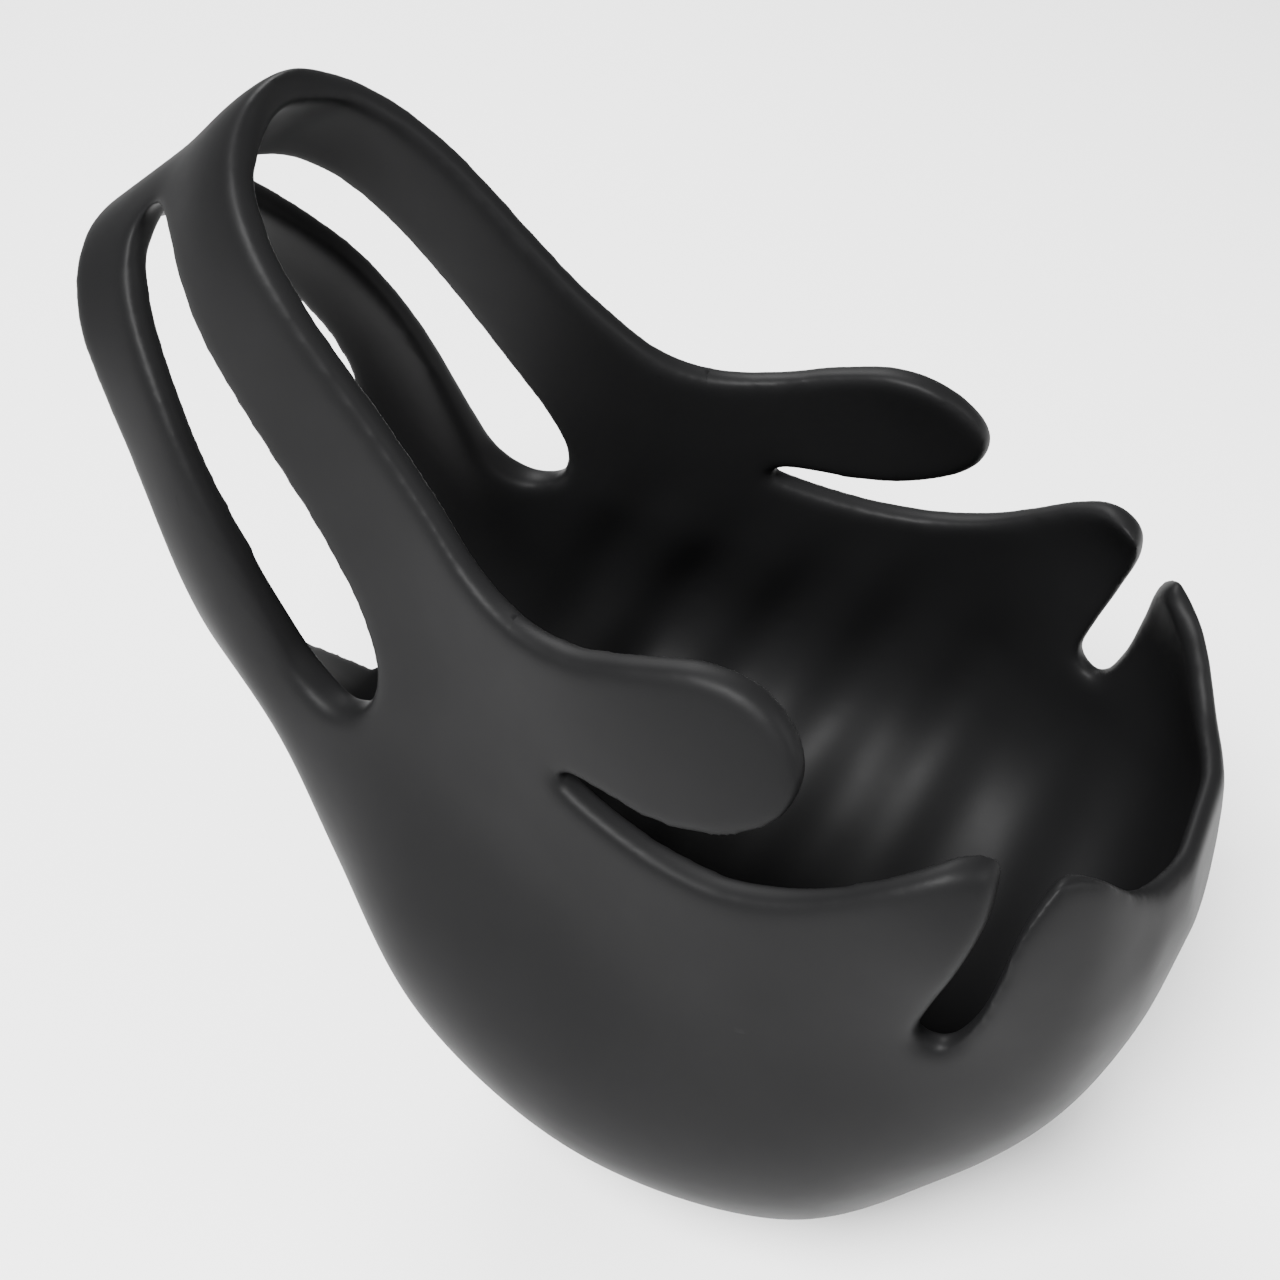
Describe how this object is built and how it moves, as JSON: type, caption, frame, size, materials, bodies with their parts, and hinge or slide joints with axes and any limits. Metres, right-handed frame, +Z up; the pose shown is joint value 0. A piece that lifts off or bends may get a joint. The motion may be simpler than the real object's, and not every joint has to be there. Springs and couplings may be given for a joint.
{
  "type": "wearable silicone massager",
  "caption": "Matt black moulded silicone cup, open at the top, with a looped rear collar, side wings, slits and a front lip, and a sealed vibration pod in its floor.",
  "frame": {"origin": "on the flat landing under the cup, in the plane of symmetry", "axes": "+Z up, square to the landing; +X from the rear collar to the front lip; +Y to the wearer's left"},
  "size_m": [0.1211, 0.0754, 0.1207],
  "materials": {
    "silicone": "matt black soft-touch silicone",
    "pod_plastic": "fine moulded dark grey",
    "seal_rubber": "satin red-brown seal",
    "steel": "plated",
    "brass": "turned and gilded",
    "cell_wrap": "shrink wrap",
    "foam": "closed-cell foam",
    "board_green": "solder mask",
    "chip_black": "moulded package",
    "clear_pipe": "milky clear",
    "lead_red": "wire insulation",
    "lead_black": "wire insulation"
  },
  "bodies": {
    "root": {"sleeve_body": "silicone", "pod_base": "pod_plastic", "pod_lid": "pod_plastic", "pod_gasket": "seal_rubber", "pod_screw_1": "steel", "pod_screw_2": "steel", "pod_screw_3": "steel", "pod_screw_4": "steel", "motor_can": "steel", "magnet_left": "steel", "magnet_right": "steel", "tact_switch": "steel", "charge_contact_left": "brass", "charge_contact_right": "brass", "battery_cell": "cell_wrap", "battery_pad": "foam", "motor_cradle": "foam", "circuit_board": "board_green", "control_chip": "chip_black", "motor_end_cap": "chip_black", "light_pipe": "clear_pipe", "status_led": "clear_pipe", "battery_lead_red": "lead_red", "motor_lead_red": "lead_red", "battery_lead_black": "lead_black", "motor_lead_black": "lead_black"},
    "wing_left": {"wing_left": "silicone"},
    "wing_right": {"wing_right": "silicone"},
    "front_lip": {"front_lip": "silicone"},
    "button": {"button_cap": "pod_plastic"},
    "rotor": {"motor_shaft": "steel", "eccentric_weight": "brass"}
  },
  "joints": [
    {"name": "wing_left_flex", "type": "hinge", "parent": "root", "child": "wing_left", "pos_m": [-0.0225, 0.0234, 0.0784], "axis": [-0.4088, -0.2039, 0.8896], "range_deg": [-15, 25], "stiffness_Nm_per_rad": 0.02},
    {"name": "wing_right_flex", "type": "hinge", "parent": "root", "child": "wing_right", "pos_m": [-0.0225, -0.0234, 0.0784], "axis": [0.4088, -0.2039, -0.8896], "range_deg": [-15, 25], "stiffness_Nm_per_rad": 0.02},
    {"name": "front_lip_flex", "type": "hinge", "parent": "root", "child": "front_lip", "pos_m": [0.028, 0, 0.058], "axis": [0, 1, 0], "range_deg": [-6, 15], "stiffness_Nm_per_rad": 0.05},
    {"name": "button_press", "type": "slide", "parent": "root", "child": "button", "axis": [0, 0, 1], "range_m": [0, 0.0004], "stiffness_N_per_m": 500},
    {"name": "rotor_spin", "type": "hinge", "parent": "root", "child": "rotor", "pos_m": [0, 0.0058, 0.0146], "axis": [1, 0, 0], "continuous": true}
  ]
}
